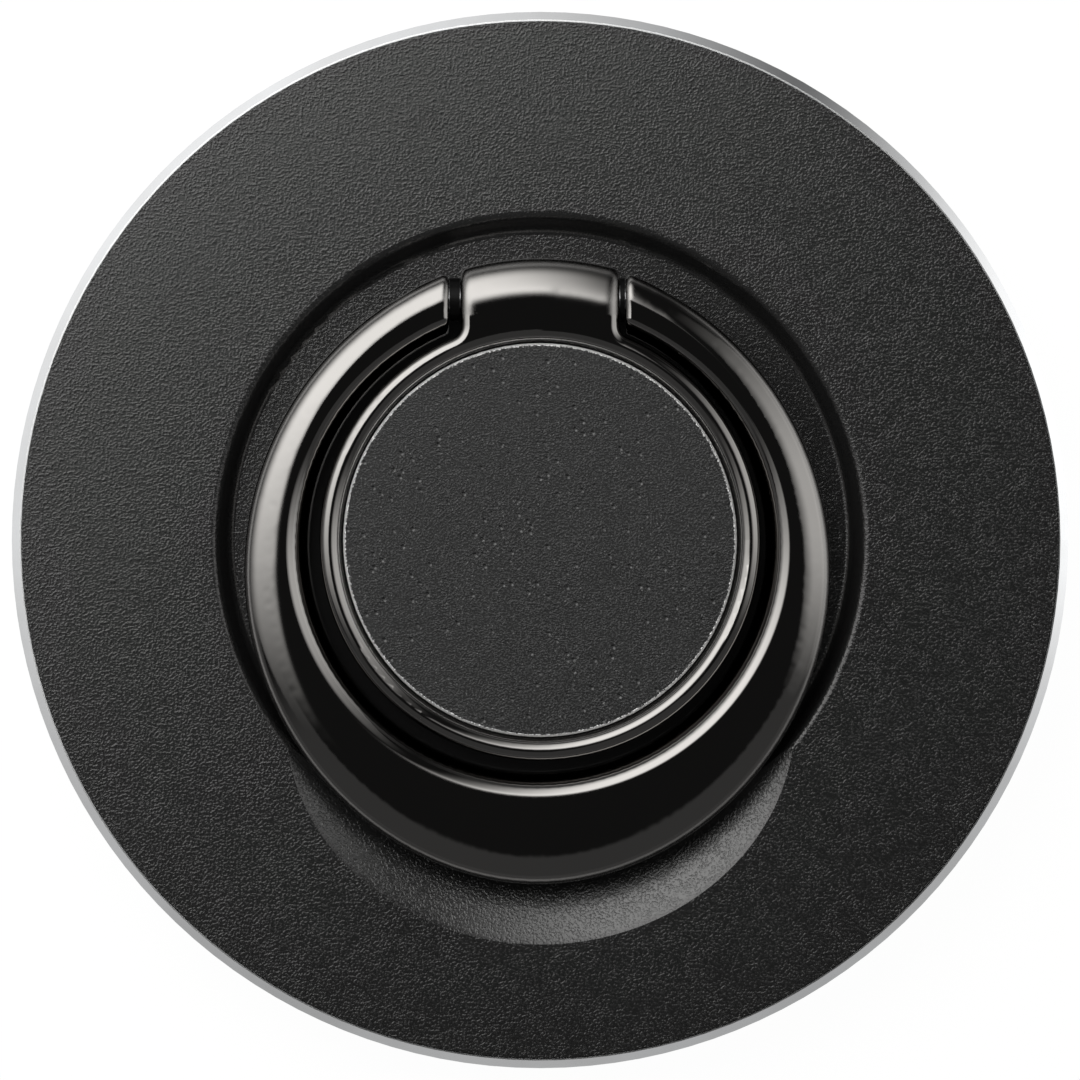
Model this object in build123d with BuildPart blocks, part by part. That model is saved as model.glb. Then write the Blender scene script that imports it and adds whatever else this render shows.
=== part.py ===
"""Magnetic phone ring holder: a round magnet plate with a folding, swivelling finger ring.

The part lies on its back. The origin is the centre of the pad that touches the phone, +Z points
out of the plate, the hinge is towards +Y and the tip of the folded ring towards -Y.
"""
from build123d import *
from math import asin, atan2, cos, degrees, hypot, radians, sin, sqrt
import os

os.makedirs("parts", exist_ok=True)

# Driving dimensions, in millimetres and degrees

# Plate and its bright trim
plate_radius = 29.0
rim_width = 0.52
rim_lip = 0.08
rim_drop = 0.42
bezel_wall = 0.6
bezel_foot_chamfer = 0.15
flange_thickness = 1.1
plate_gap = 0.05

# Back of the plate
pad_thickness = 0.5
pad_proud = 0.15
pad_inset = 0.15
pad_round = 0.2
cover_thickness = 0.6

# Magnet ring
magnet_count = 16
magnet_width = 4.1
magnet_thickness = 1.0
magnet_gap = 0.4
magnet_round = 0.2
magnet_clearance = 0.2
magnet_edge = 1.8
shunt_thickness = 0.4
shunt_clearance = 0.05
channel_wall = 1.2

# Swivel: spigot, spring washer, retaining disc and its screws
spigot_radius = 6.95
swivel_clearance = 0.05
retainer_overlap = 1.6
retainer_thickness = 0.6
retainer_lift = 0.1
washer_thickness = 0.2
washer_bow = 0.14
washer_margin = 0.2
spring_play = 0.03
screw_count = 3
screw_inset = 2.9
screw_radius = 0.75
screw_length = 3.0
screw_head_radius = 1.3
screw_clearance = 0.05
driver_width = 1.1
driver_depth = 0.3

# Well and finger scoop
floor_thickness = 1.0
well_depth = 1.4
well_gap = 1.69
well_wall_run = 0.64
well_edge_round = 0.5
well_foot_round = 0.5
scoop_margin = 3.34
scoop_half_width = 13.98
scoop_half_length = 12.32
scoop_depth = 2.6

# Centre cap and hub
cap_radius = 10.78
cap_thickness = 0.6
cap_edge_cut = 0.1
cap_gap = 0.17
cap_drop = 0.38
adhesive_thickness = 0.15
adhesive_margin = 0.4
bead_width = 1.13
bead_outer_round = 0.5
bead_crown = 0.05
hub_height = 3.1

# Hinge block, pin and washers
block_half_width = 4.35
block_reach = 3.37
block_slope_run = 2.0
block_slope_drop = 1.3
block_root_round = 0.7
hinge_inset = 1.721
hinge_gap = 0.5
pin_radius = 0.75
pin_end_inset = 0.35
pin_running_clearance = 0.03
pin_press_clearance = 0.01
pin_chamfer = 0.12
washer_ring_radius = 1.2
washer_play = 0.05

# Finger ring
ring_clearance = 0.45
ring_side_shift = 0.15
ring_tip_shift = 0.2
ring_float = 0.15
ring_thickness = 3.0
ring_side_width = 3.53
ring_tip_width = 6.13
ring_tip_tuck = 2.18
ring_flank_drop = 1.47
ring_outer_drop = 0.95
ring_inner_drop = 2.4
ring_outer_share = 0.51
ring_inner_share = 0.3825
knuckle_outer_share = 0.425
knuckle_inner_share = 0.269
ring_outer_under = 1.1
ring_inner_under = 0.9
ring_ease_turn = 60.0
ring_overrun = 1.5
ring_sections = 17
lip_clearance = 0.2
wall_clearance = 0.25
knuckle_round = 0.28
knuckle_swell = 0.02

# Heights, from the phone outwards
cover_top = pad_thickness + cover_thickness
shunt_bottom = cover_top + magnet_thickness
channel_roof = shunt_bottom + shunt_thickness + shunt_clearance
retainer_bottom = cover_top + retainer_lift
retainer_top = retainer_bottom + retainer_thickness
floor_underside = retainer_top + washer_thickness + washer_bow + 2 * spring_play
floor_top = floor_underside + floor_thickness
face_top = floor_top + well_depth
ledge_top = face_top - flange_thickness
ring_base = floor_top + ring_float
ring_top = ring_base + ring_thickness
hub_crown = floor_top + hub_height
cap_top = hub_crown - cap_drop
cap_bottom = cap_top - cap_thickness
recess_floor = cap_bottom - adhesive_thickness
hinge_height = ring_base + ring_thickness / 2
lip_underside = face_top + lip_clearance

# Radii, from the middle outwards
recess_radius = cap_radius + cap_gap
hub_radius = recess_radius + bead_width
bead_inner_round = bead_width - bead_crown - bead_outer_round
block_radius = hub_radius + block_reach
ring_inner_radius = hub_radius + ring_clearance
ring_half_width = ring_inner_radius + ring_side_width
ring_tip_reach = ring_inner_radius + ring_tip_width
well_radius = ring_half_width + well_gap
well_floor_radius = well_radius - well_wall_run
scoop_centre = ring_tip_shift + ring_tip_reach + scoop_margin - scoop_half_length
knuckle_face = block_half_width + hinge_gap
hinge_reach = sqrt((ring_inner_radius + hinge_inset) ** 2 - knuckle_face**2) - ring_tip_shift
knuckle_radius = ring_thickness / 2 + knuckle_swell
bore_radius = spigot_radius + swivel_clearance
retainer_radius = bore_radius + retainer_overlap
screw_circle = spigot_radius - screw_inset
magnet_outer = plate_radius - magnet_edge
magnet_inner = magnet_outer - magnet_width
channel_inner = magnet_inner - magnet_clearance
ledge_inner = magnet_outer + magnet_clearance
lip_inner = plate_radius - rim_width
face_radius = lip_inner - plate_gap
rebate_radius = plate_radius - bezel_wall
cover_radius = rebate_radius - plate_gap
pad_radius = cover_radius - pad_inset

# The ring's outline, about its own centre: a tip arc that runs into two wider flank arcs
tip_arc_radius = ring_half_width - ring_tip_tuck
tip_arc_drop = ring_tip_reach - tip_arc_radius
arc_step = tip_arc_drop - ring_flank_drop
flank_shift = (arc_step**2 - ring_tip_tuck**2) / (2 * ring_tip_tuck)
flank_arc_radius = ring_half_width + flank_shift
tangent_turn = degrees(
    atan2(
        tip_arc_radius * flank_shift / hypot(flank_shift, arc_step),
        tip_arc_drop + tip_arc_radius * arc_step / hypot(flank_shift, arc_step),
    )
)

# Turns of the ring's knuckle faces and of the loft's ends, which run past those faces
knuckle_turn = 180 - degrees(atan2(knuckle_face, hinge_reach + ring_tip_shift))
ring_end_turn = 180 - degrees(asin((knuckle_face - ring_overrun) / ring_half_width))


def ring_reach(turn):
    """Distance from the ring's centre to its outline, turn degrees away from the tip."""
    ahead = cos(radians(turn))
    aside = abs(sin(radians(turn)))
    if abs(turn) < tangent_turn:
        along = tip_arc_drop * ahead
        return along + sqrt(along**2 - tip_arc_drop**2 + tip_arc_radius**2)
    along = ring_flank_drop * ahead - flank_shift * aside
    offset_squared = ring_flank_drop**2 + flank_shift**2
    return along + sqrt(along**2 - offset_squared + flank_arc_radius**2)


def eased(turn, tip_value, knuckle_value):
    """Value that goes smoothly from the ring's tip and sides to its knuckles."""
    share = min(max(1 - (knuckle_turn - abs(turn)) / ring_ease_turn, 0.0), 1.0)
    return tip_value + (knuckle_value - tip_value) * share * share * (3 - 2 * share)


def section_plane(turn):
    """Upright plane through the ring's centre, with its x direction out along the ring's turn."""
    out_x = sin(radians(turn))
    out_y = -cos(radians(turn))
    ring_centre = (-ring_side_shift, -ring_tip_shift, 0)
    return Plane(origin=ring_centre, x_dir=(out_x, out_y, 0), z_dir=(out_y, -out_x, 0))


def corner(sketch, x, y):
    """Vertex of a sketch that lies nearest to a point of its plane."""
    return sketch.vertices().sort_by_distance((x, y, 0))[0]


def save(piece, name):
    """Label a finished piece and write it."""
    piece.label = name
    export_step(piece, f"parts/{name}.step")


# Bright trim ring, with the ledge that carries the face plate
with BuildPart() as bezel_ring:
    with BuildSketch(Plane.XZ):
        with BuildLine():
            Polyline(
                (rebate_radius, pad_proud),
                (plate_radius - bezel_foot_chamfer, pad_proud),
                (plate_radius, pad_proud + bezel_foot_chamfer),
                (plate_radius, face_top - rim_drop),
                (lip_inner + rim_lip, face_top),
                (lip_inner, face_top),
                (lip_inner, ledge_top),
                (ledge_inner, ledge_top),
                (ledge_inner, cover_top),
                (rebate_radius, cover_top),
                close=True,
            )
        make_face()
    revolve(axis=Axis.Z)
save(bezel_ring.part, "bezel_ring")

# Cutter of the finger scoop: a barrel rolled about a line across the plate, kept above the floor
scoop_roll_radius = (scoop_half_length**2 + scoop_depth**2) / (2 * scoop_depth)
scoop_arc_radius = (scoop_half_width**2 + scoop_depth**2) / (2 * scoop_depth)
scoop_bottom = face_top - scoop_depth
scoop_axis_height = scoop_bottom + scoop_roll_radius
scoop_end = scoop_half_width + well_gap
scoop_end_height = scoop_bottom + scoop_arc_radius - sqrt(scoop_arc_radius**2 - scoop_end**2)

with BuildPart() as scoop_cutter:
    with BuildSketch(Plane.XZ.offset(scoop_centre)):
        with BuildLine():
            ThreePointArc((-scoop_end, scoop_end_height), (0, scoop_bottom), (scoop_end, scoop_end_height))
            Polyline(
                (scoop_end, scoop_end_height),
                (scoop_end, scoop_axis_height),
                (-scoop_end, scoop_axis_height),
                (-scoop_end, scoop_end_height),
            )
        make_face()
    revolve(axis=Axis((0, -scoop_centre, scoop_axis_height), (1, 0, 0)))
    split(bisect_by=Plane.XY.offset(floor_top), keep=Keep.TOP)

# Face plate: well, bearing bore and magnet channel in one moulding
with BuildPart() as face_plate:
    with BuildSketch(Plane.XZ) as plate_profile:
        with BuildLine():
            Polyline(
                (bore_radius, floor_underside),
                (bore_radius, floor_top),
                (well_floor_radius, floor_top),
                (well_radius, face_top),
                (face_radius, face_top),
                (face_radius, ledge_top),
                (ledge_inner - plate_gap, ledge_top),
                (ledge_inner - plate_gap, channel_roof),
                (channel_inner, channel_roof),
                (channel_inner, cover_top),
                (channel_inner - channel_wall, cover_top),
                (channel_inner - channel_wall, floor_underside),
                close=True,
            )
        make_face()
        fillet(corner(plate_profile, well_floor_radius, floor_top), radius=well_foot_round)
        fillet(corner(plate_profile, well_radius, face_top), radius=well_edge_round)
    revolve(axis=Axis.Z)
    add(scoop_cutter.part, mode=Mode.SUBTRACT)
save(face_plate.part, "face_plate")

# Thin cover that closes the magnet channel
with BuildPart() as back_cover:
    with BuildSketch(Plane.XY.offset(pad_thickness)):
        Circle(cover_radius)
    extrude(amount=cover_thickness)
save(back_cover.part, "back_cover")

# Soft pad that touches the phone
with BuildPart() as grip_pad:
    with BuildSketch(Plane.XY):
        Circle(pad_radius)
    extrude(amount=pad_thickness)
    fillet(grip_pad.edges().group_by(Axis.Z)[0], radius=pad_round)
save(grip_pad.part, "grip_pad")

# Flat steel ring behind the magnets
with BuildPart() as shunt_ring:
    with BuildSketch(Plane.XY.offset(shunt_bottom)):
        Circle(magnet_outer)
        Circle(magnet_inner, mode=Mode.SUBTRACT)
    extrude(amount=shunt_thickness)
save(shunt_ring.part, "shunt_ring")

# Ring of arc magnets
magnet_pitch = 360 / magnet_count
magnet_arc = magnet_pitch - degrees(magnet_gap / magnet_inner)
for index in range(magnet_count):
    with BuildPart() as magnet:
        with BuildSketch(Plane.XY.offset(cover_top).rotated((0, 0, index * magnet_pitch))) as magnet_outline:
            with BuildLine():
                outer_edge = CenterArc((0, 0), magnet_outer, -magnet_arc / 2, magnet_arc)
                inner_edge = CenterArc((0, 0), magnet_inner, -magnet_arc / 2, magnet_arc)
                Line(outer_edge @ 0, inner_edge @ 0)
                Line(outer_edge @ 1, inner_edge @ 1)
            make_face()
            fillet(magnet_outline.vertices(), radius=magnet_round)
        extrude(amount=magnet_thickness)
    save(magnet.part, f"magnet_{index + 1:02d}")

# Hub: swivel spigot, rounded rim and hinge block in one casting
block_waist = hub_crown - block_slope_drop
block_crown_end = block_radius - block_slope_run
block_root = sqrt(hub_radius**2 - block_half_width**2)
screw_hole_radius = screw_radius + screw_clearance
screw_hole_depth = screw_length - retainer_thickness + screw_clearance

# Cutter of the slope at the outer end of the hinge block
with BuildPart() as block_slope:
    with BuildSketch(Plane.XZ):
        with BuildLine():
            slope = EllipticalCenterArc(
                (block_crown_end, block_waist), block_slope_run, block_slope_drop, start_angle=0, arc_size=90
            )
            Polyline(
                slope @ 1,
                (block_crown_end, hub_crown + block_slope_drop),
                (block_radius + block_slope_run, hub_crown + block_slope_drop),
                (block_radius + block_slope_run, block_waist),
                slope @ 0,
            )
        make_face()
    revolve(axis=Axis.Z)


def is_rim_edge(edge):
    """True for the edges round the top of the hub and block, and not for the slope's smooth start."""
    middle = edge.center()
    on_slope_start = abs(middle.X) < bead_width and middle.Y > hub_radius
    return middle.Z > block_waist + bead_outer_round and not on_slope_start


def is_recess_edge(edge):
    """True for the upper edge of the cap's recess."""
    on_recess = edge.geom_type == GeomType.CIRCLE and abs(edge.radius - recess_radius) < cap_gap
    return on_recess and edge.center().Z > cap_top


with BuildPart() as hub:
    with BuildSketch(Plane.XY.offset(floor_top)) as hub_outline:
        Circle(block_radius)
        with Locations((0, block_radius / 2)):
            Rectangle(2 * block_half_width, block_radius, mode=Mode.INTERSECT)
        Circle(hub_radius)
        fillet(corner(hub_outline, block_half_width, block_root), radius=block_root_round)
        fillet(corner(hub_outline, -block_half_width, block_root), radius=block_root_round)
    extrude(amount=hub_height)
    add(block_slope.part, mode=Mode.SUBTRACT)
    fillet(hub.edges().filter_by(is_rim_edge), radius=bead_outer_round)
    with BuildSketch(Plane.XY.offset(retainer_top)):
        Circle(spigot_radius)
    extrude(amount=floor_top - retainer_top)
    with BuildSketch(Plane.XY.offset(recess_floor)):
        Circle(recess_radius)
    extrude(amount=hub_height, mode=Mode.SUBTRACT)
    fillet(hub.edges().filter_by(is_recess_edge), radius=bead_inner_round)
    with BuildSketch(Plane.XY.offset(retainer_top)):
        with PolarLocations(screw_circle, screw_count):
            Circle(screw_hole_radius)
    extrude(amount=screw_hole_depth, mode=Mode.SUBTRACT)
    with BuildSketch(Plane.YZ):
        with Locations((hinge_reach, hinge_height)):
            Circle(pin_radius + pin_running_clearance)
    extrude(amount=knuckle_face, both=True, mode=Mode.SUBTRACT)
save(hub.part, "hub")

# Bowed spring washer between the face plate's floor and the retaining disc
washer_outer = retainer_radius - washer_margin
washer_inner = bore_radius + washer_margin
bow_foot = retainer_top + spring_play
bow_radius = (washer_outer**2 + washer_bow**2) / (2 * washer_bow)

with BuildPart() as bow_washer:
    with BuildSketch(Plane.XZ):
        with Locations((0, bow_foot + washer_bow - bow_radius)):
            Circle(bow_radius + washer_thickness)
            Circle(bow_radius, mode=Mode.SUBTRACT)
    extrude(amount=washer_outer, both=True)
    with BuildSketch(Plane.XY.offset(retainer_top)):
        Circle(washer_outer)
        Circle(washer_inner, mode=Mode.SUBTRACT)
    extrude(amount=floor_thickness, mode=Mode.INTERSECT)
save(bow_washer.part, "bow_washer")

# Steel disc that holds the hub in the face plate
with BuildPart() as retainer_plate:
    with BuildSketch(Plane.XY.offset(retainer_bottom)):
        Circle(retainer_radius)
    extrude(amount=retainer_thickness)
    with Locations(Plane((0, 0, retainer_bottom), x_dir=(1, 0, 0), z_dir=(0, 0, -1))):
        with PolarLocations(screw_circle, screw_count):
            CounterSinkHole(screw_hole_radius, screw_head_radius + screw_clearance, counter_sink_angle=90)
save(retainer_plate.part, "retainer_plate")

# Countersunk screws, flush with the underside of the disc
screw_head_height = screw_head_radius - screw_radius

with BuildPart() as screw:
    with BuildSketch(Plane.XZ):
        with BuildLine():
            Polyline(
                (0, retainer_bottom),
                (screw_head_radius, retainer_bottom),
                (screw_radius, retainer_bottom + screw_head_height),
                (screw_radius, retainer_bottom + screw_length),
                (0, retainer_bottom + screw_length),
                close=True,
            )
        make_face()
    revolve(axis=Axis.Z)
    with BuildSketch(Plane.XY.offset(retainer_bottom)):
        RegularPolygon(driver_width / 2, 6, major_radius=False)
    extrude(amount=driver_depth, mode=Mode.SUBTRACT)

with BuildPart() as retainer_screws:
    with PolarLocations(screw_circle, screw_count):
        add(screw.part)
save(retainer_screws.part, "retainer_screws")

# Bonding disc and grained centre cap
with BuildPart() as cap_adhesive:
    with BuildSketch(Plane.XY.offset(recess_floor)):
        Circle(cap_radius - adhesive_margin)
    extrude(amount=adhesive_thickness)
save(cap_adhesive.part, "cap_adhesive")

with BuildPart() as centre_cap:
    with BuildSketch(Plane.XY.offset(cap_bottom)):
        Circle(cap_radius)
    extrude(amount=cap_thickness)
    chamfer(centre_cap.edges().group_by(Axis.Z)[-1], length=cap_edge_cut)
save(centre_cap.part, "centre_cap")

# Space that the ring's underside leaves for the well's wall, so that it can swivel while folded
with BuildPart() as swivel_relief:
    with BuildSketch(Plane.XZ):
        with BuildLine():
            Polyline(
                (well_floor_radius - wall_clearance, floor_underside),
                (well_floor_radius - wall_clearance, floor_top),
                (well_radius - wall_clearance, lip_underside),
                (ring_tip_reach + well_gap, lip_underside),
                (ring_tip_reach + well_gap, floor_underside),
                close=True,
            )
        make_face()
    revolve(axis=Axis.Z)

# Space beyond the hinge axis, outside the round-ended barrels in which the knuckles turn
with BuildPart() as turning_space:
    with BuildSketch(Plane.YZ):
        with Locations((hinge_reach + ring_thickness, hinge_height)):
            Rectangle(2 * ring_thickness, 2 * ring_thickness)
    extrude(amount=ring_half_width + ring_side_shift, both=True)
    with BuildSketch(Plane.XY.offset(hinge_height)) as barrel_profile:
        for side in (-1, 1):
            face_x = side * knuckle_face - ring_side_shift
            end_x = side * ring_half_width - ring_side_shift
            with BuildLine():
                Polyline(
                    (face_x, hinge_reach),
                    (end_x, hinge_reach),
                    (end_x, hinge_reach + knuckle_radius),
                    (face_x, hinge_reach + knuckle_radius),
                    close=True,
                )
            make_face()
            fillet(corner(barrel_profile, face_x, hinge_reach + knuckle_radius), radius=knuckle_round)
    revolve(axis=Axis((0, hinge_reach, hinge_height), (1, 0, 0)), mode=Mode.SUBTRACT)

# Finger ring, lofted round the hub from knuckle to knuckle
outer_waist = ring_top - ring_outer_drop
inner_waist = ring_top - ring_inner_drop

with BuildPart() as finger_ring:
    for step in range(ring_sections):
        turn = ring_end_turn * (2 * step / (ring_sections - 1) - 1)
        reach = ring_reach(turn)
        slope_width = min(ring_side_width, reach - ring_inner_radius)
        outer_run = slope_width * eased(turn, ring_outer_share, knuckle_outer_share)
        inner_run = slope_width * eased(turn, ring_inner_share, knuckle_inner_share)
        outer_foot = (reach - ring_outer_under, outer_waist)
        inner_foot = (ring_inner_radius + ring_inner_under, inner_waist)
        with BuildSketch(section_plane(turn)):
            with BuildLine():
                outer_top = EllipticalCenterArc(
                    (reach - outer_run, outer_waist), outer_run, ring_outer_drop, 0, arc_size=90
                )
                inner_top = EllipticalCenterArc(
                    (ring_inner_radius + inner_run, inner_waist), inner_run, ring_inner_drop, 90, arc_size=90
                )
                inner_under = EllipticalCenterArc(
                    inner_foot, ring_inner_under, inner_waist - ring_base, 180, arc_size=90
                )
                outer_under = EllipticalCenterArc(
                    outer_foot, ring_outer_under, outer_waist - ring_base, 270, arc_size=90
                )
                Line(outer_top @ 1, inner_top @ 0)
                Line(inner_under @ 1, outer_under @ 0)
            make_face()
    loft()
    add(swivel_relief.part, mode=Mode.SUBTRACT)
    with BuildSketch(Plane.XY.offset(floor_top)):
        with Locations((-ring_side_shift, hinge_reach)):
            Rectangle(2 * knuckle_face, 2 * hinge_reach - hub_radius)
    extrude(amount=2 * ring_thickness, mode=Mode.SUBTRACT)
    fillet(finger_ring.faces().filter_by(Axis.X).edges(), radius=knuckle_round)
    add(turning_space.part, mode=Mode.SUBTRACT)
    with BuildSketch(Plane.YZ):
        with Locations((hinge_reach, hinge_height)):
            Circle(pin_radius + pin_press_clearance)
    extrude(amount=ring_half_width, both=True, mode=Mode.SUBTRACT)
save(finger_ring.part, "finger_ring")

# Hinge pin, let in a little at both ends of its bore
pin_mouth = hinge_reach + ring_tip_shift + pin_radius + ring_flank_drop
pin_bore_end = sqrt(flank_arc_radius**2 - pin_mouth**2) - flank_shift
pin_half_length = pin_bore_end - pin_end_inset

with BuildPart() as hinge_pin:
    with BuildSketch(Plane.YZ.offset(-ring_side_shift)):
        with Locations((hinge_reach, hinge_height)):
            Circle(pin_radius)
    extrude(amount=pin_half_length, both=True)
    chamfer(hinge_pin.edges().filter_by(GeomType.CIRCLE), length=pin_chamfer)
save(hinge_pin.part, "hinge_pin")

# Friction washers, each as thick as its hinge gap allows
for name, side in (("hinge_washer_left", -1), ("hinge_washer_right", 1)):
    side_gap = hinge_gap - side * ring_side_shift
    with BuildPart() as hinge_washer:
        with BuildSketch(Plane.YZ.offset(side * (block_half_width + side_gap / 2))):
            with Locations((hinge_reach, hinge_height)):
                Circle(washer_ring_radius)
                Circle(pin_radius + pin_running_clearance, mode=Mode.SUBTRACT)
        extrude(amount=side_gap / 2 - washer_play, both=True)
    save(hinge_washer.part, name)
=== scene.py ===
"""Looks and studio of a magnetic phone ring holder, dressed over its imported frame."""
import logging
import math
from dataclasses import dataclass, field
from enum import Enum
from functools import cached_property
from typing import Any, Optional, Union

import bmesh
import bpy
from mathutils import Matrix, Vector

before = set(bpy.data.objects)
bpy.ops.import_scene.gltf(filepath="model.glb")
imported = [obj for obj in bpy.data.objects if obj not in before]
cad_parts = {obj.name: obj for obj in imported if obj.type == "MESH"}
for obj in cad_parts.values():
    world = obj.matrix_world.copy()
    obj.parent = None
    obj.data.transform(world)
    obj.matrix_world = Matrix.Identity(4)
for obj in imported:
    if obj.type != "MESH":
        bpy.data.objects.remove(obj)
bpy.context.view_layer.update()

MM = 0.001
SPECK_CORE = 0.3  # share of a speck's radius that is fully covered
SPECK_FULL = 0.8  # share of the specks that show at full strength
LOG = logging.getLogger("ring_holder")

Colour = tuple[float, float, float, float]


def grey(level: float, warmth: float = 0.0) -> Colour:
    """Colour of one brightness, a little redder and less blue for a positive warmth."""
    return (level * (1 + warmth), level, level * (1 - warmth), 1.0)


class Shade:
    """Output socket of a shader graph, whose arithmetic adds Math nodes to the graph."""

    def __init__(self, graph: "Graph", socket: bpy.types.NodeSocket) -> None:
        """Wrap one output socket of a graph."""
        self.graph = graph
        self.socket = socket

    def maths(self, operation: str, *terms: "Term") -> "Shade":
        """Add a Math node.

        Args:
            operation: The node's operation.
            terms: Its inputs in order, sockets or numbers.

        Returns:
            The node's value.
        """
        node = self.graph.add("ShaderNodeMath", {"operation": operation}, dict(enumerate(terms)))
        return Shade(self.graph, node.outputs[0])

    def __add__(self, other: "Term") -> "Shade":
        """Sum."""
        return self.maths("ADD", self, other)

    def __radd__(self, other: "Term") -> "Shade":
        """Sum, with the number first."""
        return self.maths("ADD", other, self)

    def __sub__(self, other: "Term") -> "Shade":
        """Difference."""
        return self.maths("SUBTRACT", self, other)

    def __rsub__(self, other: "Term") -> "Shade":
        """Difference, with the number first."""
        return self.maths("SUBTRACT", other, self)

    def __mul__(self, other: "Term") -> "Shade":
        """Product."""
        return self.maths("MULTIPLY", self, other)

    def __rmul__(self, other: "Term") -> "Shade":
        """Product, with the number first."""
        return self.maths("MULTIPLY", other, self)

    def __truediv__(self, other: "Term") -> "Shade":
        """Quotient."""
        return self.maths("DIVIDE", self, other)

    def __pow__(self, other: "Term") -> "Shade":
        """Power."""
        return self.maths("POWER", self, other)

    def most(self, other: "Term") -> "Shade":
        """Larger of two values."""
        return self.maths("MAXIMUM", self, other)

    def band(self, low: float, high: float) -> "Shade":
        """Smooth step.

        Args:
            low: Value that gives 0.
            high: Value that gives 1, which may be the smaller one.

        Returns:
            A mask from 0 to 1.
        """
        node = self.graph.add(
            "ShaderNodeMapRange",
            {"interpolation_type": "SMOOTHSTEP"},
            {"Value": self, "From Min": min(low, high), "From Max": max(low, high)},
        )
        mask = Shade(self.graph, node.outputs[0])
        return mask if low < high else 1 - mask


Term = Union[Shade, float]


class Graph:
    """Shader graph of one material or lamp, with the pattern nodes that the finishes share."""

    def __init__(self, owner: Union[bpy.types.Material, bpy.types.Light]) -> None:
        """Empty the graph of a material or lamp."""
        self.owner = owner
        owner.use_nodes = True
        self.tree = owner.node_tree
        self.tree.nodes.clear()

    @classmethod
    def of(cls, name: str) -> "Graph":
        """Graph of a new material of that name."""
        return cls(bpy.data.materials.new(name))

    @cached_property
    def place(self) -> Shade:
        """Place on the object, in metres."""
        return self.output("ShaderNodeTexCoord", "Object")

    def add(
        self,
        kind: str,
        settings: Optional[dict[str, Any]] = None,
        inputs: Optional[dict[Any, Any]] = None,
    ) -> bpy.types.Node:
        """Add any node.

        Args:
            kind: The node's type.
            settings: Its own settings, set first, with a ramp's stops as (place, colour) pairs.
            inputs: Values or links of its sockets, by name or number.

        Returns:
            The new node.
        """
        node = self.tree.nodes.new(kind)
        for key, value in (settings or {}).items():
            if key == "stops":
                elements = node.color_ramp.elements
                while len(elements) < len(value):
                    elements.new(1.0)
                for element, (where, colour) in zip(elements, value):
                    element.position = where
                    element.color = colour
            else:
                setattr(node, key, value)
        for key, value in (inputs or {}).items():
            if isinstance(value, Shade):
                self.tree.links.new(value.socket, node.inputs[key])
            else:
                node.inputs[key].default_value = value
        return node

    def output(
        self,
        kind: str,
        name: Union[str, int] = 0,
        settings: Optional[dict[str, Any]] = None,
        inputs: Optional[dict[Any, Any]] = None,
    ) -> Shade:
        """Add any node and take one of its outputs, by name or number."""
        return Shade(self, self.add(kind, settings, inputs).outputs[name])

    def vector(self, operation: str, first: Any, second: Any, name: Union[str, int] = 0) -> Shade:
        """Add a Vector Math node on two vectors and take one of its outputs."""
        return self.output("ShaderNodeVectorMath", name, {"operation": operation}, {0: first, 1: second})

    def noise(
        self, pitch: float, detail: float = 2.0, rough: float = 0.5, at: Optional[Shade] = None
    ) -> Shade:
        """Cloudy noise from 0 to 1.

        Args:
            pitch: Size of a cloud, in metres.
            detail: Number of finer layers.
            rough: Strength of each finer layer.
            at: Where to read it, if not at the object's own place.

        Returns:
            The noise.
        """
        inputs = {
            "Vector": at or self.place, "Scale": 1 / pitch, "Detail": detail, "Roughness": rough
        }
        return self.output("ShaderNodeTexNoise", "Fac", {}, inputs)

    def warped(self, pitch: float, reach: float) -> Shade:
        """Object coordinates pushed about by noise.

        Args:
            pitch: Size of the noise, in metres.
            reach: How far a point is pushed, in metres.

        Returns:
            The pushed coordinates.
        """
        inputs = {"Vector": self.place, "Scale": 1 / pitch, "Detail": 1.0}
        push = self.output("ShaderNodeTexNoise", "Color", {}, inputs)
        centred = self.vector("SUBTRACT", push, (0.5, 0.5, 0.5))
        sized = self.vector("MULTIPLY", centred, (2 * reach,) * 3)
        return self.vector("ADD", self.place, sized)

    def lines(self, along: Shade, pitch: float, detail: float) -> Shade:
        """Fine lines as noise along one measure.

        Args:
            along: The measure, in metres.
            pitch: Usual distance between lines, in metres.
            detail: Number of finer layers.

        Returns:
            The lines, from 0 to 1.
        """
        inputs = {"W": along / pitch, "Scale": 1.0, "Detail": detail}
        return self.output("ShaderNodeTexNoise", "Fac", {"noise_dimensions": "1D"}, inputs)

    def stretched(self, sizes: tuple[float, float, float]) -> Shade:
        """Object coordinates scaled along each axis."""
        inputs = {"Vector": self.place, "Scale": sizes}
        return self.output("ShaderNodeMapping", 0, {"vector_type": "POINT"}, inputs)

    def shifted(self, step: tuple[float, float, float]) -> Shade:
        """Object coordinates moved by a step, in metres."""
        return self.vector("ADD", self.place, step)

    def specks(self, pitch: float, size: float, share: float, at: Optional[Shade] = None) -> Shade:
        """Sparse round specks.

        Args:
            pitch: Usual distance between places for a speck, in metres.
            size: A speck's radius, in metres.
            share: Share of the places that have one.
            at: Where to read them, if not at the object's own place.

        Returns:
            A mask, 1 in the middle of a speck.
        """
        inputs = {"Vector": at or self.place, "Scale": 1 / pitch}
        cells = self.add("ShaderNodeTexVoronoi", {"feature": "F1"}, inputs)
        distance, tone = (Shade(self, cells.outputs[name]) for name in ("Distance", "Color"))
        chance = self.output("ShaderNodeSeparateColor", 0, {}, {0: tone})
        spot = distance.band(size / pitch, SPECK_CORE * size / pitch)
        return spot * chance.band(1 - share, 1 - SPECK_FULL * share)

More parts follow.
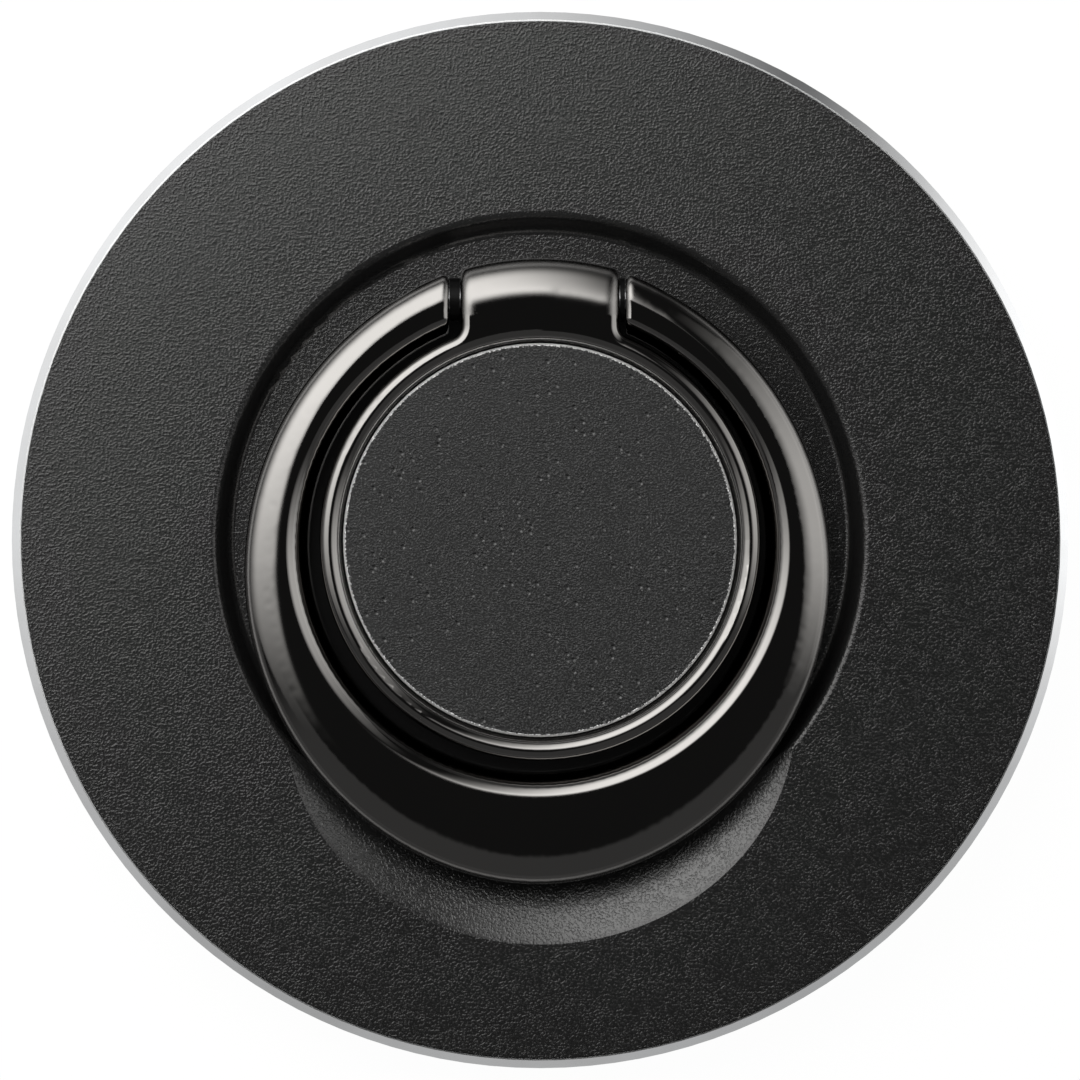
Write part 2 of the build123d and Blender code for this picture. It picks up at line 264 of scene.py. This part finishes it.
    def radius(self) -> Shade:
        """Distance from the hub's axis, in metres."""
        flat = self.vector("MULTIPLY", self.place, (1.0, 1.0, 0.0))
        return self.output("ShaderNodeVectorMath", "Value", {"operation": "LENGTH"}, {0: flat})

    def measure(self, axis: str) -> Shade:
        """Place along one axis, in metres: Y towards the hinge, or Z above the phone."""
        return self.output("ShaderNodeSeparateXYZ", axis, {}, {0: self.place})

    def blend(self, share: Term, first: Any, second: Any) -> Shade:
        """Mix two colours by a mask."""
        return self.output("ShaderNodeMix", 2, {"data_type": "RGBA"}, {0: share, 6: first, 7: second})

    def relief(self, height: Shade, depth: float) -> Shade:
        """Bumped normal.

        Args:
            height: The relief, from 0 to 1.
            depth: What 1 stands for, in metres.

        Returns:
            The normal.
        """
        return self.output("ShaderNodeBump", 0, {}, {"Height": height, "Distance": depth, "Strength": 1.0})

    def surface(self, **sockets: Any) -> bpy.types.Material:
        """Finish the material with one principled surface.

        Args:
            sockets: Values and links of the shader's sockets, with _ for each space of a name.

        Returns:
            The finished material.
        """
        inputs = {key.replace("_", " "): value for key, value in sockets.items()}
        shader = self.output("ShaderNodeBsdfPrincipled", 0, {}, inputs)
        self.add("ShaderNodeOutputMaterial", {}, {"Surface": shader})
        return self.owner


@dataclass(frozen=True)
class GrainedPlastic:
    """Moulded black plastic with a fine grain whose lighter peaks are partly painted glint, smoother and
    darkened by painted shade in the well, and shiny in the scoop.
    """

    name: str = "moulded_grain"
    dark: float = 0.0125
    # lighter grain tone: partly the grain's own tone, partly painted glint
    light: float = 0.0162
    grain_pitch: float = 0.14 * MM
    grain_depth: float = 0.010 * MM
    grain_band: tuple[float, float] = (0.42, 0.74)
    gloss: float = 0.17
    floor_gloss: float = 0.14
    track_gloss: float = 0.05
    cloud_gloss: float = 0.04
    scoop_coat: float = 0.5
    scoop_coat_gloss: float = 0.3
    density: float = 1.62
    track_radius: float = 13.6 * MM
    well_radius: float = 17.9 * MM
    floor_height: float = 3.5 * MM
    face_height: float = 4.6 * MM
    blend: float = 0.2 * MM

    def material(self) -> bpy.types.Material:
        """Build the finish.

        Returns:
            The material.
        """
        graph = Graph.of(self.name)
        radius, height = graph.radius(), graph.measure("Z")
        grained = radius.band(self.track_radius - self.blend, self.track_radius + self.blend)
        low = height.band(self.floor_height + 2 * self.blend, self.floor_height)
        outside = radius.band(self.well_radius, self.well_radius + 1.5 * self.blend)
        scoop = outside * height.band(self.face_height, self.face_height - 0.75 * self.blend)
        floor = low * (1 - outside)
        place = graph.warped(3 * self.grain_pitch, 0.4 * self.grain_pitch)
        grains = graph.noise(self.grain_pitch, 1.5, 0.5, place).band(*self.grain_band)
        swell = graph.noise(6 * self.grain_pitch, 1.0)
        cloud = graph.noise(9 * MM, 3.0, 0.6)
        # grain peaks take the lighter tone, partly painted glint; on the well floor the grain tone is
        # pulled to the dark one, as painted shade under the ring
        colour = graph.blend(grains * (1 - 0.75 * floor), grey(self.dark), grey(self.light))
        gloss = self.gloss + self.cloud_gloss * cloud + floor * (self.floor_gloss - self.gloss)
        relief = grains * grained * (0.4 + 1.2 * swell) * (1 - 0.5 * floor + 0.8 * scoop)
        return graph.surface(
            Base_Color=colour,
            Roughness=self.track_gloss + grained * (gloss - self.track_gloss),
            IOR=self.density,
            Coat_Weight=self.scoop_coat * scoop,
            Coat_Roughness=self.scoop_coat_gloss,
            Normal=graph.relief(relief, self.grain_depth),
        )


@dataclass(frozen=True)
class CutTrim:
    """Bright trim metal with fine turning lines."""

    name: str = "cut_trim"
    bright: float = 0.93
    gloss: float = 0.14
    line_pitch: float = 0.05 * MM
    line_depth: float = 0.0015 * MM

    def material(self) -> bpy.types.Material:
        """Build the finish.

        Returns:
            The material.
        """
        graph = Graph.of(self.name)
        rings = graph.lines(graph.radius() + graph.measure("Z"), self.line_pitch, 2.0)
        smear = graph.noise(6 * MM, 3.0, 0.6)
        clean, smeared = grey(self.bright, -0.012), grey(0.94 * self.bright, -0.006)
        colour = graph.blend(smear.band(0.3, 0.75), clean, smeared)
        gloss = self.gloss + 0.10 * smear + 0.05 * rings
        return graph.surface(
            Base_Color=colour, Metallic=1.0, Roughness=gloss, Normal=graph.relief(rings, self.line_depth)
        )


class Zone(Enum):
    """Part of a plated piece where the edges are polished softest."""

    BLOCK = "past a line towards the hinge"
    FLANK = "past a radius from the hub's axis"


@dataclass(frozen=True)
class BlackPlate:
    """Dark nickel plating, polished like a mirror over edges that are softest in one zone."""

    name: str
    zone: Zone
    zone_start: float
    zone_round: float
    zone_blend: float = 0.1 * MM
    edge_round: float = 0.07 * MM
    round_samples: int = 6
    mirror: float = 0.255
    warmth: float = 0.03
    gloss: float = 0.02

    def material(self) -> bpy.types.Material:
        """Build the finish.

        Returns:
            The material.
        """
        graph = Graph.of(self.name)
        haze = graph.noise(5 * MM, 4.0, 0.65)
        dust = graph.specks(1.3 * MM, 0.035 * MM, 0.05)
        clear, hazy = grey(self.mirror, self.warmth), grey(0.92 * self.mirror, self.warmth)
        colour = graph.blend(haze, clear, hazy)
        gloss = self.gloss + 0.03 * haze.band(0.45, 0.8) + 0.3 * dust
        crisp, soft = (
            graph.output("ShaderNodeBevel", 0, {"samples": self.round_samples}, {"Radius": size})
            for size in (self.edge_round, self.zone_round)
        )
        if self.zone is Zone.BLOCK:
            reach = graph.measure("Y")
        else:
            reach = graph.radius()
        share = reach.band(self.zone_start - self.zone_blend, self.zone_start + self.zone_blend)
        inputs = {0: share, 4: crisp, 5: soft}
        softened = graph.output("ShaderNodeMix", 1, {"data_type": "VECTOR"}, inputs)
        return graph.surface(Base_Color=colour, Metallic=1.0, Roughness=gloss, Normal=softened)


@dataclass(frozen=True)
class CapGrain:
    """Black cap with a fine stipple, pits with painted shade inside and a painted highlight on their lower
    right, painted glint specks and a bright ragged cut edge.
    """

    name: str = "cap_stipple"
    dark: float = 0.007
    light: float = 0.038
    # tone of the bright glint specks, a painted highlight
    speck_glint_tone: float = 0.16
    stipple_pitch: float = 0.11 * MM
    stipple_depth: float = 0.014 * MM
    pit_pitch: float = 0.5 * MM
    pit_radius: float = 0.13 * MM
    pit_depth: float = 0.035 * MM
    pit_share: float = 0.5
    # size and offset of the painted highlight on the lower right of each pit
    pit_glint_radius: float = 0.10 * MM
    pit_glint_shift: float = 0.09 * MM
    # spacing, size and share of the painted glint specks
    speck_glint_pitch: float = 0.28 * MM
    speck_glint_radius: float = 0.06 * MM
    speck_glint_share: float = 0.5
    ragged_pitch: float = 0.10 * MM
    ragged_reach: float = 0.32 * MM
    edge_radius: float = 10.66 * MM
    edge_blend: float = 0.015 * MM
    edge_bright: float = 0.95
    gloss: float = 0.33

    def material(self) -> bpy.types.Material:
        """Build the finish.

        Returns:
            The material.
        """
        graph = Graph.of(self.name)
        stipple = graph.noise(self.stipple_pitch, 1.0).band(0.40, 0.76)
        patchy = 0.5 + graph.noise(0.9 * MM, 1.0).band(0.3, 0.7)
        # the pit highlights are read at a shifted place, so each pit gets a painted highlight on its lower
        # right
        beyond = graph.shifted((-self.pit_glint_shift, self.pit_glint_shift, 0.0))
        pits = graph.specks(self.pit_pitch, self.pit_radius, self.pit_share)
        pit_glints = graph.specks(self.pit_pitch, self.pit_glint_radius, self.pit_share, beyond)
        speck_glints = graph.specks(self.speck_glint_pitch, self.speck_glint_radius, self.speck_glint_share)
        cloud = graph.noise(2.2 * MM, 3.0, 0.6)
        # the pits take the dark tone on top of their bump, as painted shade in the hollows
        share = stipple * (0.7 + 0.6 * cloud) * (1 - pits)
        ground = graph.blend(share, grey(self.dark, -0.02), grey(self.light, -0.02))
        # painted glint specks and painted pit highlights take the bright tone; the pits keep their painted
        # shade
        body = graph.blend((0.8 * speck_glints).most(pit_glints) * (1 - pits), ground, grey(self.speck_glint_tone))
        ragged = graph.radius() + (graph.noise(self.ragged_pitch, 2.0, 0.7) - 0.5) * self.ragged_reach
        edge = ragged.band(self.edge_radius - self.edge_blend, self.edge_radius + self.edge_blend)
        height = stipple * patchy * (self.stipple_depth / self.pit_depth) - pits
        return graph.surface(
            Base_Color=graph.blend(edge, body, grey(self.edge_bright)),
            Metallic=edge * 0.6,
            Roughness=self.gloss + 0.08 * cloud + 0.05 * edge,
            Normal=graph.relief(height, self.pit_depth),
        )


@dataclass(frozen=True)
class CoverPlastic:
    """Plain black moulding of the cover and the hinge washers, with a spark-eroded texture."""

    name: str = "cover_moulding"
    colour: float = 0.022
    gloss: float = 0.5
    density: float = 1.5
    texture_pitch: float = 0.12 * MM
    texture_depth: float = 0.01 * MM

    def material(self) -> bpy.types.Material:
        """Build the finish.

        Returns:
            The material.
        """
        graph = Graph.of(self.name)
        texture = graph.noise(self.texture_pitch, 2.0, 0.6)
        cloud = graph.noise(7 * MM, 2.0)
        return graph.surface(
            Base_Color=graph.blend(cloud, grey(0.8 * self.colour), grey(1.2 * self.colour)),
            Roughness=self.gloss + 0.15 * texture,
            IOR=self.density,
            Normal=graph.relief(texture, self.texture_depth),
        )


@dataclass(frozen=True)
class SoftRubber:
    """Soft silicone that grips the phone, matt, with a fine cell pattern and a little dust."""

    name: str = "soft_silicone"
    colour: float = 0.035
    cell_pitch: float = 0.45 * MM
    cell_depth: float = 0.02 * MM

    def material(self) -> bpy.types.Material:
        """Build the finish.

        Returns:
            The material.
        """
        graph = Graph.of(self.name)
        inputs = {"Vector": graph.place, "Scale": 1 / self.cell_pitch}
        cells = graph.output("ShaderNodeTexVoronoi", "Distance", {"feature": "F1"}, inputs)
        patches = graph.noise(8 * MM, 2.0).band(0.4, 0.7)
        dust = graph.noise(0.3 * MM, 3.0, 0.7).band(0.62, 0.8) * patches
        colour = graph.blend(0.35 * dust, grey(self.colour), grey(4 * self.colour))
        return graph.surface(
            Base_Color=colour,
            Roughness=0.62 + 0.2 * cells,
            Normal=graph.relief(1 - cells.band(0.0, 0.6), self.cell_depth),
            Sheen_Weight=0.15,
        )


@dataclass(frozen=True)
class BondFilm:
    """Thin amber bonding film."""

    name: str = "bond_film"
    colour: Colour = (0.32, 0.24, 0.12, 1.0)
    pale: Colour = (0.55, 0.47, 0.32, 1.0)
    bubble_depth: float = 0.01 * MM

    def material(self) -> bpy.types.Material:
        """Build the finish.

        Returns:
            The material.
        """
        graph = Graph.of(self.name)
        bubbles = graph.specks(0.9 * MM, 0.12 * MM, 0.3)
        cloud = graph.noise(2 * MM, 3.0)
        return graph.surface(
            Base_Color=graph.blend(0.5 * cloud + 0.3 * bubbles, self.colour, self.pale),
            Roughness=0.3 + 0.2 * cloud,
            Normal=graph.relief(bubbles, self.bubble_depth),
        )


@dataclass(frozen=True)
class NickelPlate:
    """Satin nickel plating of the magnets."""

    name: str = "satin_nickel"
    colour: Colour = (0.66, 0.63, 0.58, 1.0)
    stained: Colour = (0.44, 0.41, 0.36, 1.0)
    mottle_depth: float = 0.004 * MM

    def material(self) -> bpy.types.Material:
        """Build the finish.

        Returns:
            The material.
        """
        graph = Graph.of(self.name)
        mottle = graph.noise(0.6 * MM, 4.0, 0.65)
        stain = graph.noise(3 * MM, 2.0).band(0.55, 0.8)
        return graph.surface(
            Base_Color=graph.blend(0.4 * stain, self.colour, self.stained),
            Metallic=1.0,
            Roughness=0.26 + 0.16 * mottle,
            Normal=graph.relief(mottle, self.mottle_depth),
        )


class Lay(Enum):
    """Direction of the marks that a metal finish leaves."""

    STRAIGHT = "straight"
    ROUND = "round"


@dataclass(frozen=True)
class BrushedSteel:
    """Spring and pin steel with fine marks."""

    name: str = "brushed_steel"
    lay: Lay = Lay.STRAIGHT
    colour: Colour = (0.56, 0.56, 0.57, 1.0)
    worn: Colour = (0.38, 0.38, 0.39, 1.0)
    turning_pitch: float = 0.06 * MM
    mark_depth: float = 0.003 * MM

    def material(self) -> bpy.types.Material:
        """Build the finish.

        Returns:
            The material.
        """
        graph = Graph.of(self.name)
        if self.lay is Lay.STRAIGHT:
            marks = graph.noise(0.9 * MM, 3.0, 0.6, graph.stretched((1.0, 14.0, 14.0)))
        else:
            marks = graph.lines(graph.radius(), self.turning_pitch, 3.0)
        cloud = graph.noise(2.5 * MM, 2.0)
        return graph.surface(
            Base_Color=graph.blend(0.5 * marks + 0.3 * cloud, self.colour, self.worn),
            Metallic=1.0,
            Roughness=0.24 + 0.18 * marks,
            Normal=graph.relief(marks, self.mark_depth),
        )


class SubAssembly:
    """Group of CAD nodes that are dressed together."""

    def dress(self, node: str, material: bpy.types.Material) -> None:
        """Give a CAD node its finish.

        Args:
            node: The node's name.
            material: The finish.
        """
        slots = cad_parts[node].data.materials
        slots.clear()
        slots.append(material)
        LOG.info("%s: %s", node, material.name)


@dataclass
class Plate(SubAssembly):
    """Round plate: trim, grained face, cover and soft pad."""

    trim: CutTrim = field(default_factory=CutTrim)
    grain: GrainedPlastic = field(default_factory=GrainedPlastic)
    cover: CoverPlastic = field(default_factory=CoverPlastic)
    pad: SoftRubber = field(default_factory=SoftRubber)

    def build(self) -> None:
        """Dress the plate's nodes."""
        self.dress("bezel_ring", self.trim.material())
        self.dress("face_plate", self.grain.material())
        self.dress("back_cover", self.cover.material())
        self.dress("grip_pad", self.pad.material())


@dataclass
class MagnetPack(SubAssembly):
    """Ring of magnets under its flat steel ring."""

    count: int = 16
    nickel: NickelPlate = field(default_factory=NickelPlate)
    steel: BrushedSteel = field(default_factory=lambda: BrushedSteel("turned_steel", Lay.ROUND))

    def build(self) -> None:
        """Dress the magnets and the steel ring."""
        plating = self.nickel.material()
        for number in range(1, self.count + 1):
            self.dress(f"magnet_{number:02d}", plating)
        self.dress("shunt_ring", self.steel.material())


@dataclass
class SwivelHub(SubAssembly):
    """Turning hub with its cap, and what holds it in the plate."""

    plating: BlackPlate = field(
        default_factory=lambda: BlackPlate("black_plating", Zone.BLOCK, 12.3 * MM, 0.6 * MM)
    )
    cap: CapGrain = field(default_factory=CapGrain)
    film: BondFilm = field(default_factory=BondFilm)
    steel: BrushedSteel = field(default_factory=lambda: BrushedSteel("swivel_steel", Lay.ROUND))

    def build(self) -> None:
        """Dress the hub's nodes."""
        self.dress("hub", self.plating.material())
        self.dress("centre_cap", self.cap.material())
        self.dress("cap_adhesive", self.film.material())
        steel = self.steel.material()
        for node in ("retainer_plate", "retainer_screws", "bow_washer"):
            self.dress(node, steel)


@dataclass
class FoldingRing(SubAssembly):
    """Finger ring on its hinge pin."""

    plating: BlackPlate = field(
        default_factory=lambda: BlackPlate("ring_plating", Zone.FLANK, 14.05 * MM, 0.32 * MM)
    )
    steel: BrushedSteel = field(default_factory=lambda: BrushedSteel("hinge_steel", Lay.STRAIGHT))
    washer: CoverPlastic = field(
        default_factory=lambda: CoverPlastic("washer_moulding", colour=0.003, gloss=0.3, density=1.2)
    )

    def build(self) -> None:
        """Dress the ring, its pin and its washers."""
        self.dress("finger_ring", self.plating.material())
        self.dress("hinge_pin", self.steel.material())
        washer = self.washer.material()
        for node in ("hinge_washer_left", "hinge_washer_right"):
            self.dress(node, washer)


@dataclass(frozen=True)
class SoftBox:
    """Rectangular studio lamp whose glow fades out by direction, as seen from the object.

    Turns are degrees away from the lamp's own azimuth, taken a little behind the middle, and slants are
    degrees away from straight up. Each has four stops: where the glow starts, is full, is full for the
    last time, and ends.
    """

    name: str
    azimuth: float
    place: tuple[float, float, float]
    aim: tuple[float, float, float]
    width: float
    height: float
    brightness: float
    turns: tuple[float, float, float, float]
    slants: tuple[float, float, float, float]
    setback: float = 0.0
    tint: tuple[float, float, float] = (1.0, 1.0, 1.0)

    def build(self) -> bpy.types.Object:
        """Place the lamp.

        Returns:
            The lamp's object.
        """
        lamp = bpy.data.lights.new(self.name, "AREA")
        lamp.shape = "RECTANGLE"
        lamp.size = self.width
        lamp.size_y = self.height
        lamp.color = self.tint
        lamp.energy = self.brightness * math.pi * self.width * self.height
        graph = Graph(lamp)
        glow = graph.output("ShaderNodeEmission", 0, {}, {"Strength": self.glow(graph)})
        graph.add("ShaderNodeOutputLight", {}, {"Surface": glow})
        around = Matrix.Rotation(math.radians(self.azimuth), 3, "Z")
        place, aim = around @ Vector(self.place), around @ Vector(self.aim)
        holder = bpy.data.objects.new(self.name, lamp)
        holder.location = place
        holder.rotation_euler = (aim - place).to_track_quat("-Z", "Y").to_euler()
        holder.visible_camera = False
        bpy.context.scene.collection.objects.link(holder)
        return holder

    def glow(self, graph: Graph) -> Shade:
        """Shape the glow.

        Args:
            graph: The lamp's graph.

        Returns:
            The share of the full brightness at each point of the lamp.
        """
        spot = graph.output("ShaderNodeNewGeometry", "Position")
        turned = graph.output(
            "ShaderNodeVectorRotate",
            0,
            {"rotation_type": "Z_AXIS"},
            {"Vector": spot, "Angle": -math.radians(self.azimuth)},
        )
        parts = graph.add("ShaderNodeSeparateXYZ", {}, {0: turned})
        along, across, up = (Shade(graph, parts.outputs[index]) for index in range(3))
        turn = across.maths("ARCTAN2", across, along + self.setback)
        slant = across.maths("ARCTAN2", (along * along + across * across) ** 0.5, up)
        share: Term = 1.0
        for angle, stops in ((turn, self.turns), (slant, self.slants)):
            start, full, last, end = (math.radians(stop) for stop in stops)
            share = angle.band(start, full) * angle.band(end, last) * share
        return share


@dataclass
class Studio:
    """Pale floor that rises into a low wall, soft lamps and a camera straight above."""

    floor_radius: float = 1.0
    floor_drop: float = 0.02 * MM
    wall_height: float = 0.42
    wall_round: float = 0.12
    wall_fade: float = 0.78
    fade_heights: tuple[float, float] = (0.05, 0.16)
    round_steps: int = 8
    spin_steps: int = 96
    weld: float = 1e-6
    white: float = 1.02
    floor_shadow: float = 0.05
    tooth_pitch: float = 0.8 * MM
    world_level: float = 0.02
    lens: float = 400.0
    sensor: float = 36.0
    clip_start: float = 0.01
    view_width: float = 59.26 * MM
    view_height: float = 4.6 * MM
    wall_levels: tuple[tuple[float, float], ...] = (
        (-180, 0.80), (-150, 0.52), (-120, 0.41), (-90, 0.50), (-60, 0.41), (-30, 0.50), (0, 1.0),
        (30, 1.0), (48, 0.50), (60, 0.10), (74, 0.40), (90, 0.75), (120, 1.0), (150, 1.0), (180, 0.80),
    )
    lamps: tuple[SoftBox, ...] = (
        SoftBox(
            "overhead_box",
            azimuth=180.0,
            place=(0.20, -0.24, 0.25),
            aim=(0.20, -0.24, 0.0),
            width=1.2,
            height=0.7,
            brightness=3.0,
            turns=(-110.0, -65.0, -36.0, 31.0),
            slants=(6.0, 15.0, 43.0, 82.0),
            setback=0.02,
            tint=(1.0, 0.995, 0.98),
        ),
        SoftBox(
            "side_box",
            azimuth=13.0,
            place=(0.32, 0.0, 0.24),
            aim=(0.0, 0.0, 0.0),
            width=0.5,
            height=0.62,
            brightness=1.3,
            turns=(-40.0, -5.0, 0.0, 47.0),
            slants=(5.0, 38.0, 68.0, 97.0),
            tint=(1.0, 0.995, 0.98),
        ),
        SoftBox(
            "front_card",
            azimuth=-90.0,
            place=(0.29, 0.0, 0.26),
            aim=(0.0, 0.0, 0.0),
            width=1.2,
            height=0.58,
            brightness=0.085,
            turns=(-75.0, -55.0, 62.0, 88.0),
            slants=(12.0, 17.0, 62.0, 82.0),
        ),
    )

    def backdrop(self) -> bpy.types.Object:
        """Build the floor and its wall.

        Returns:
            The backdrop's object.
        """
        shell = bmesh.new()
        side, floor = self.floor_radius, -self.floor_drop
        points = [(0.0, 0.0, floor), (side, 0.0, floor), (side, 0.0, self.wall_height)]
        corners = [shell.verts.new(point) for point in points]
        for pair in zip(corners, corners[1:]):
            shell.edges.new(pair)
        bmesh.ops.bevel(
            shell,
            geom=[corners[1]],
            offset=self.wall_round,
            affect="VERTICES",
            segments=self.round_steps,
            profile=0.5,
            material=-1,
        )
        bmesh.ops.spin(
            shell,
            geom=shell.verts[:] + shell.edges[:],
            axis=(0, 0, 1),
            cent=(0, 0, 0),
            angle=2 * math.pi,
            steps=self.spin_steps,
            use_merge=True,
        )
        bmesh.ops.remove_doubles(shell, verts=shell.verts, dist=self.weld)
        bmesh.ops.recalc_face_normals(shell, faces=shell.faces)
        middle = min(shell.faces, key=lambda face: face.calc_center_median().length)
        if middle.normal.z < 0:
            bmesh.ops.reverse_faces(shell, faces=shell.faces)
        for face in shell.faces:
            face.smooth = True
        mesh = bpy.data.meshes.new("backdrop")
        shell.to_mesh(mesh)
        shell.free()
        drop = bpy.data.objects.new("backdrop", mesh)
        bpy.context.scene.collection.objects.link(drop)
        mesh.materials.append(self.paper())
        return drop

    def paper(self) -> bpy.types.Material:
        """White backdrop paper, which keeps soft shadows, mirrors unevenly and is clear from outside.

        Returns:
            The material.
        """
        graph = Graph.of("backdrop_paper")
        path = graph.add("ShaderNodeLightPath")
        camera, glossy, through = (
            Shade(graph, path.outputs[f"Is {kind} Ray"]) for kind in ("Camera", "Glossy", "Transmission")
        )
        parts = graph.add("ShaderNodeSeparateXYZ", {}, {0: graph.place})
        flat_x, flat_y, high = (Shade(graph, parts.outputs[axis]) for axis in ("X", "Y", "Z"))
        turn = flat_x.maths("ARCTAN2", flat_y, flat_x) / (2 * math.pi) + 0.5
        stops = [(angle / 360 + 0.5, grey(level)) for angle, level in self.wall_levels]
        wall = graph.output("ShaderNodeValToRGB", 0, {"stops": stops}, {0: turn})
        tooth = graph.noise(self.tooth_pitch, 2.0)
        shade = graph.blend(tooth, grey(self.floor_shadow), grey(0.98 * self.floor_shadow))
        plain = graph.output("ShaderNodeBsdfDiffuse", 0, {}, {"Color": shade})
        fade = 1 - self.wall_fade * high.band(*self.fade_heights)
        seen = camera.most(glossy).most(through) * fade * (self.white - self.floor_shadow)
        light = graph.blend(camera, wall, grey(1.0))
        glow = graph.output("ShaderNodeEmission", 0, {}, {"Color": light, "Strength": seen})
        both = graph.output("ShaderNodeAddShader", 0, {}, {0: plain, 1: glow})
        outside = graph.output("ShaderNodeNewGeometry", "Backfacing")
        clear = graph.output("ShaderNodeBsdfTransparent")
        shown = graph.output("ShaderNodeMixShader", 0, {}, {0: camera * outside, 1: both, 2: clear})
        graph.add("ShaderNodeOutputMaterial", {}, {"Surface": shown})
        return graph.owner

    def camera(self) -> bpy.types.Object:
        """Place the camera above the middle of the plate, with the hinge at the top of the picture.

        Returns:
            The camera's object.
        """
        data = bpy.data.cameras.new("camera")
        data.lens = self.lens
        data.sensor_width = self.sensor
        data.clip_start = self.clip_start
        eye = bpy.data.objects.new("camera", data)
        eye.location = (0.0, 0.0, self.view_height + self.view_width * self.lens / self.sensor)
        bpy.context.scene.collection.objects.link(eye)
        bpy.context.scene.camera = eye
        return eye

    def build(self) -> None:
        """Set up the backdrop, the lamps, the world and the camera."""
        scene = bpy.context.scene
        scene.view_settings.view_transform = "Standard"
        world = bpy.data.worlds.new("studio")
        world.use_nodes = True
        sky = next(node for node in world.node_tree.nodes if node.type == "BACKGROUND")
        sky.inputs["Color"].default_value = grey(self.world_level)
        scene.world = world
        self.backdrop()
        for lamp in self.lamps:
            lamp.build()
        self.camera()
        LOG.info("studio: %d lamps", len(self.lamps))


def main() -> None:
    """Dress the object and set up the studio."""
    logging.basicConfig(level=logging.INFO, format="%(name)s: %(message)s")
    for part in (Plate(), MagnetPack(), SwivelHub(), FoldingRing(), Studio()):
        part.build()


if __name__ == "__main__":
    main()
